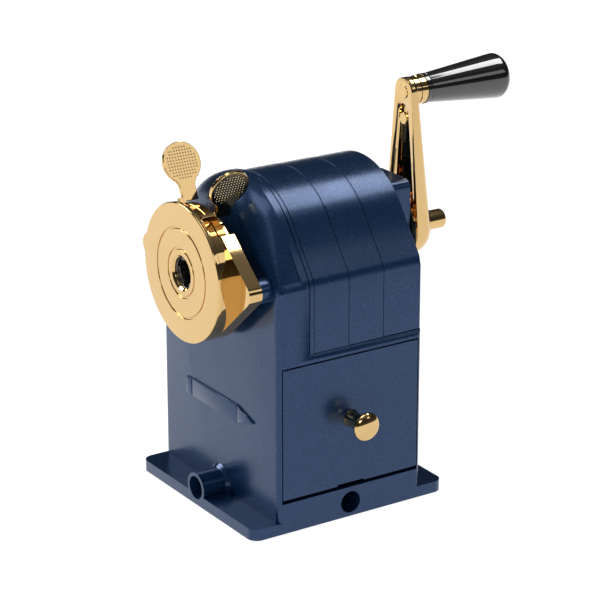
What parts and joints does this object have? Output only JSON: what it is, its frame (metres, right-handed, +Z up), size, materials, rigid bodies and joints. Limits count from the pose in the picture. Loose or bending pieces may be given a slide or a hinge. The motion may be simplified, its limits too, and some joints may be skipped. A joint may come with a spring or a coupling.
{
  "type": "crank pencil sharpener",
  "caption": "Desk pencil sharpener with a metal case, sprung pencil feed, helical cutter, side drawer and a crank with a spinning grip.",
  "frame": {"origin": "centre of the base's footprint, on the surface that it stands on", "axes": "+Z up, -Y the side that the pencil goes in, +Y the crank side, +X the drawer side"},
  "size_m": [0.0807, 0.1249, 0.1346],
  "materials": {
    "navy_paint": "satin metallic navy paint with a fine sparkle",
    "polished_gold": "mirror-polished gold plating",
    "steel": "bright machined steel",
    "dark_steel": "hardened dark steel",
    "spring_steel": "drawn spring wire",
    "tray_steel": "dark painted sheet steel",
    "bronze": "sintered bronze",
    "black_gloss": "gloss black lacquer",
    "pad_rubber": "matt rubber"
  },
  "bodies": {
    "root": {"base_casting": "navy_paint", "case_front_wall": "navy_paint", "case_rear_wall": "navy_paint", "case_side_wall": "navy_paint", "case_top_frame": "navy_paint", "front_housing": "navy_paint", "roof_cover": "navy_paint", "rear_plate": "navy_paint", "rear_bearing_housing": "navy_paint", "rear_screws": "steel", "housing_screws": "steel", "base_pad": "pad_rubber", "front_emblem": "navy_paint", "rod_bush_left": "steel", "rod_bush_right": "steel", "shaft_bush": "bronze", "ring_gear": "dark_steel", "ring_gear_screws": "steel", "drawer_rail_front": "steel", "drawer_rail_rear": "steel", "return_spring_left": "spring_steel", "return_spring_right": "spring_steel"},
    "drawer": {"drawer_front": "navy_paint", "drawer_tray": "tray_steel", "drawer_knob": "polished_gold", "drawer_knob_screw": "steel"},
    "feed_head": {"face_disc": "polished_gold", "feed_yoke": "polished_gold", "chuck_body": "steel", "guide_tube": "polished_gold", "guide_rod_left": "steel", "guide_rod_right": "steel", "rod_clip_left": "dark_steel", "rod_clip_right": "dark_steel"},
    "left_lever": {"lever_left": "polished_gold"},
    "right_lever": {"lever_right": "polished_gold"},
    "top_jaw": {"jaw_top": "dark_steel"},
    "left_jaw": {"jaw_left": "dark_steel"},
    "right_jaw": {"jaw_right": "dark_steel"},
    "crank": {"crank_shaft": "steel", "cutter_carrier": "steel", "hub_flange": "polished_gold", "crank_arm": "polished_gold", "handle_pin": "polished_gold", "arm_stud": "polished_gold", "shaft_collar": "dark_steel"},
    "cutter": {"helical_cutter": "dark_steel", "cutter_pinion": "dark_steel", "cutter_spindle": "steel"},
    "handle": {"handle_ferrule": "polished_gold", "handle_ring": "black_gloss", "handle_grip": "black_gloss"},
    "adjuster": {"adjuster_knob": "polished_gold"},
    "tip_stop": {"tip_stop_rod": "steel"}
  },
  "joints": [
    {"name": "drawer_slide", "type": "slide", "parent": "root", "child": "drawer", "axis": [1, 0, 0], "range_m": [0, 0.05]},
    {"name": "feed_slide", "type": "slide", "parent": "root", "child": "feed_head", "axis": [0, -1, 0], "range_m": [0, 0.024], "stiffness_N_per_m": 120, "springref_m": -0.005, "deforming": ["return_spring_left", "return_spring_right"]},
    {"name": "right_lever_pinch", "type": "hinge", "parent": "feed_head", "child": "right_lever", "pos_m": [0, -0.0323, 0.081], "axis": [0, -1, 0], "range_deg": [0, 10], "stiffness_Nm_per_rad": 0.05, "springref_deg": -5.73},
    {"name": "left_lever_pinch", "type": "hinge", "parent": "feed_head", "child": "left_lever", "pos_m": [0, -0.0323, 0.081], "axis": [0, 1, 0], "range_deg": [0, 10]},
    {"name": "top_jaw_slide", "type": "slide", "parent": "feed_head", "child": "top_jaw", "axis": [0, 0, 1], "range_m": [0, 0.0012]},
    {"name": "left_jaw_slide", "type": "slide", "parent": "feed_head", "child": "left_jaw", "axis": [-0.866, 0, -0.5], "range_m": [0, 0.0012]},
    {"name": "right_jaw_slide", "type": "slide", "parent": "feed_head", "child": "right_jaw", "axis": [0.866, 0, -0.5], "range_m": [0, 0.0012]},
    {"name": "crank_spin", "type": "hinge", "parent": "root", "child": "crank", "pos_m": [0, 0.03, 0.081], "axis": [0, 1, 0], "continuous": true},
    {"name": "cutter_spin", "type": "hinge", "parent": "crank", "child": "cutter", "pos_m": [0, -0.0213, 0.09364], "axis": [0, 0.9816, -0.1908], "continuous": true},
    {"name": "handle_spin", "type": "hinge", "parent": "crank", "child": "handle", "pos_m": [0, 0.06, 0.127], "axis": [0, 1, 0], "continuous": true},
    {"name": "adjuster_turn", "type": "hinge", "parent": "crank", "child": "adjuster", "pos_m": [0, 0.055, 0.081], "axis": [0, 1, 0], "range_deg": [-180, 180]},
    {"name": "tip_stop_slide", "type": "slide", "parent": "crank", "child": "tip_stop", "axis": [0, 1, 0], "range_m": [-0.0006, 0.0006]}
  ],
  "couplings": [
    {"joint": "left_lever_pinch", "follows": "right_lever_pinch", "ratio": 1},
    {"joint": "top_jaw_slide", "follows": "right_lever_pinch", "m_per_rad": 0.0068748},
    {"joint": "left_jaw_slide", "follows": "right_lever_pinch", "m_per_rad": 0.0068748},
    {"joint": "right_jaw_slide", "follows": "right_lever_pinch", "m_per_rad": 0.0068748},
    {"joint": "cutter_spin", "follows": "crank_spin", "ratio": -3},
    {"joint": "tip_stop_slide", "follows": "adjuster_turn", "m_per_rad": 0.00019097}
  ]
}
